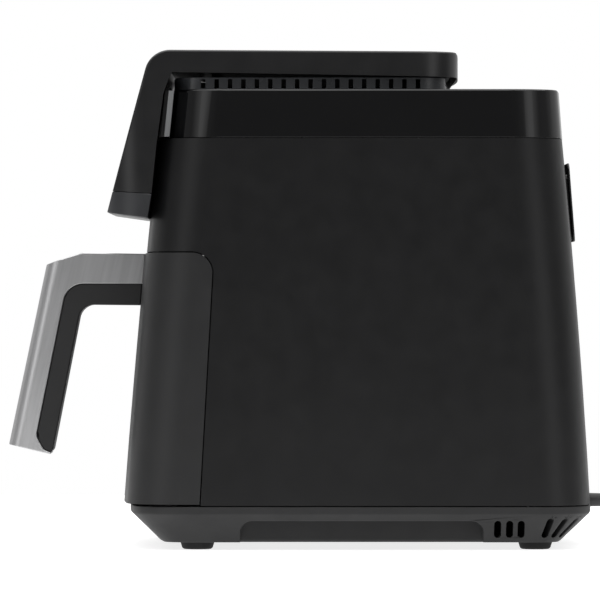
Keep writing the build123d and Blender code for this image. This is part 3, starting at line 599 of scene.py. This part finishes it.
panel_print = make_mesh("panel_print", print_points, print_faces, white_ink, smooth=False)
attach(panel_print, "housing")


# Drawer front: ABS cap that wraps round both front corners, moulded apart from the shell in a duller tool.
# Its colour is set a shade lighter than the shell's as painted light, for the brighter light its face catches.
# The bucket's flange and the handle's screws hold it.
drawer_black_painted_light = moulded(
    "coarse_eroded_abs_painted_light", "#0f0f10", "#121213", (0.42, 0.48), 1.0, 0.015,
    IOR=1.53, Specular_IOR_Level=0.44,
)
dress(drawer_black_painted_light, "drawer_front")

# Seam ribs: curved ribs moulded inside each side of the shell, behind the drawer's upper rear corner.
# They follow its arc 0.3 mm away and close the seam, so no light comes through.
seam_low = Vector((0, -66.2, 30.4))
seam_high = Vector((0, -57.0, 196.4))
seam_corner = 13.5
seam_slope = (seam_high.y - seam_low.y) / (seam_high.z - seam_low.z)
arc_z = seam_high.z - seam_corner
arc_y = seam_low.y + seam_slope * (arc_z - seam_low.z) - seam_corner * hypot(1, seam_slope)
arc_start, arc_sweep, arc_steps = 4, 84, 14
rib_near, rib_far = seam_corner + 0.3, seam_corner + 3.5
rib_inside, rib_outside = 125.5, 129.6
rib_section = ((rib_inside, rib_near), (rib_outside, rib_near), (rib_outside, rib_far), (rib_inside, rib_far))
rib_points = []
rib_faces = []
for side in (-1, 1):
    loops = []
    for step in range(arc_steps + 1):
        turn = radians(arc_start + arc_sweep * step / arc_steps)
        rise, back = sin(turn), cos(turn)
        loops.append(
            [(side * across, arc_y + reach * back, arc_z + reach * rise) for across, reach in rib_section]
        )
    add_loops(rib_points, rib_faces, loops)
seam_ribs = make_mesh("seam_ribs", rib_points, rib_faces, shell_black, smooth=False)
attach(seam_ribs, "housing")

# Bucket and crisper plate: deep-drawn and pierced steel sheet with a sprayed non-stick coating.
# The coat is dark grey, slightly rippled, with light specks, set wider apart than real ones so that they show.
speck_pitch = 2.38
ripple_pitch = 2.0
nonstick, tree, shader, place = new_finish("sprayed_nonstick", IOR=1.45)
specks = add_node(tree, "TexVoronoi", {"Vector": place, "Scale": 1 / (speck_pitch * mm)}, feature="F1")
speck_size = add_node(
    tree, "MapRange",
    {"Value": specks.outputs["Distance"], "From Min": 0.0, "From Max": 0.22, "To Min": 1.0, "To Max": 0.0},
)
speck_pick = add_node(tree, "TexNoise", {"Vector": place, "Scale": 1 / (1.4 * speck_pitch * mm)})
picked = add_node(tree, "Math", {0: speck_size.outputs[0], 1: speck_pick.outputs[0]}, operation="MULTIPLY")
coat = add_node(tree, "ValToRGB", {0: picked.outputs[0]})
coat.color_ramp.elements[0].position = 0.36
coat.color_ramp.elements[0].color = linear("#1c1c1e")
coat.color_ramp.elements[1].position = 0.5
coat.color_ramp.elements[1].color = linear("#6a6a6c")
ripple = add_node(tree, "TexNoise", {"Vector": place, "Scale": 1 / (ripple_pitch * mm)})
relief = add_node(tree, "Bump", {"Height": ripple.outputs[0], "Distance": 0.03 * mm})
sheen = add_node(tree, "MapRange", {"Value": speck_pick.outputs[0], "To Min": 0.28, "To Max": 0.44})
join_up(tree, shader, coat, sheen, relief)
dress(nonstick, "bucket", "crisper_plate")

# Plate pads: grey silicone bumpers, compression-moulded and pushed onto the crisper plate's edge.
# Silicone is soft to the eye, with a low, even sheen.
silicone = moulded("moulded_grey_silicone", "#2e2f31", "#37383a", (0.55, 0.7), 1.2, 0.02, IOR=1.41)
dress(silicone, "plate_pads")

# Hidden mouldings: back plate, drawer frame, outlet duct, switch and console plate, in heat-resistant PBT.
# They are plain matt black parts, screwed or clipped to the shell and the drawer.
back_black = moulded("heat_resistant_black_pbt", "#131313", "#19191a", (0.45, 0.55), 1.0, 0.02, IOR=1.6)
dress(back_black, "drawer_back_plate", "front_frame", "outlet_duct", "drawer_switch", "switch_plunger")
dress(back_black, "console_plate")

# Handle's outer shell: ABS skin in satin silver lacquer, sprayed, then screwed over the grip from inside.
# Faint streaks run along the grip, so its reflections are drawn out that way.
silver, tree, shader, place = new_finish("satin_silver_lacquer", Metallic=0.8)
handle_lean = radians(13)
streak_wide = 2.4
streak_stretch = 25
along_grip = add_node(
    tree, "Mapping", {"Vector": place, "Rotation": (-handle_lean, 0, 0), "Scale": (1, 1, streak_stretch)},
    vector_type="TEXTURE",
)
streaks = add_node(
    tree, "TexNoise", {"Vector": along_grip.outputs[0], "Scale": 1 / (streak_wide * mm), "Detail": 2.0}
)
flakes = add_node(tree, "ValToRGB", {0: streaks.outputs[0]})
flakes.color_ramp.elements[0].position = 0.3
flakes.color_ramp.elements[0].color = linear("#bababb")
flakes.color_ramp.elements[1].position = 0.7
flakes.color_ramp.elements[1].color = linear("#c4c4c5")
sheen = add_node(tree, "MapRange", {"Value": streaks.outputs[0], "To Min": 0.26, "To Max": 0.32})
relief = add_node(tree, "Bump", {"Height": streaks.outputs[0], "Distance": 0.012 * mm})
join_up(tree, shader, flakes, sheen, relief)
dress(silver, "handle_shell")
soften("handle_shell", 0.5)

# Handle's grip: soft-touch elastomer moulded over a rigid core, where the fingers close round it.
# It is dull black and has well rounded edges.
grip_black = moulded("soft_touch_black_elastomer", "#0f0f10", "#141415", (0.5, 0.6), 0.8, 0.02, IOR=1.5)
dress(grip_black, "handle_grip")
soften("handle_grip", 0.8)


# Liner, rails, chamber dome, shield and brackets: aluminised sheet steel, rolled, pressed and spot-welded.
# The coating has a faint spangle, and the rolling leaves fine lines along the sheet.
sheet_steel, tree, shader, place = new_finish("aluminised_sheet_steel", Metallic=1.0)
spangle_size = 11.1
roll_line = 1.1
roll_length = 71.0
spangle = add_node(
    tree, "TexVoronoi", {"Vector": place, "Scale": 1 / (spangle_size * mm)}, feature="SMOOTH_F1"
)
bright = add_node(tree, "ValToRGB", {0: spangle.outputs["Distance"]})
bright.color_ramp.elements[0].color = linear("#a2a2a0")
bright.color_ramp.elements[1].color = linear("#bdbdba")
rolling = add_node(
    tree, "Mapping",
    {"Vector": place, "Scale": (1 / (roll_line * mm), 1 / (roll_length * mm), 1 / (roll_line * mm))},
)
lines = add_node(tree, "TexNoise", {"Vector": rolling.outputs[0], "Scale": 1.0})
sheen = add_node(tree, "MapRange", {"Value": lines.outputs[0], "To Min": 0.28, "To Max": 0.45})
relief = add_node(tree, "Bump", {"Height": lines.outputs[0], "Distance": 0.01 * mm})
join_up(tree, shader, bright, sheen, relief)
dress(sheet_steel, "cavity_liner", "rail_left", "rail_right", "chamber_dome", "heat_shield", "motor_bracket")
dress(sheet_steel, "element_clips", "element_guard", "handle_bracket")

# Heating element: bent stainless tube filled with magnesia, clipped under the dome.
# Heat has browned it, so its metal is dark and warm.
browned = moulded("heat_tinted_stainless", "#5b5249", "#7a7268", (0.3, 0.45), 1.0, 0.01, Metallic=1.0)
dress(browned, "heating_element")

# Fans: blades pressed from aluminium sheet and riveted to their hubs, one above and one below the dome.
# The sheet is bare, pale and slightly uneven.
fan_aluminium = moulded("pressed_aluminium", "#b5b6b7", "#c6c7c8", (0.3, 0.42), 0.8, 0.01, Metallic=1.0)
dress(fan_aluminium, "hot_fan", "cooling_fan")

# Motor, its shaft and the temperature parts: turned and pressed steel, bright, with fine tool marks.
# The motor is screwed to its bracket, and the sensor and fuse are clipped where the air passes.
turned_steel = moulded("turned_steel", "#8f9092", "#a3a4a5", (0.2, 0.32), 0.7, 0.008, Metallic=1.0)
dress(turned_steel, "motor_shaft", "motor", "temperature_sensor", "thermal_fuse")

# Boards: glass-cloth laminate with a green solder mask, which is a thin glossy lacquer.
# They stand on bosses behind the panel and at the shell's rear.
board_green = moulded("solder_masked_laminate", "#0f3d22", "#14502c", (0.3, 0.42), 1.5, 0.02, IOR=1.5)
dress(board_green, "mains_board", "control_board")
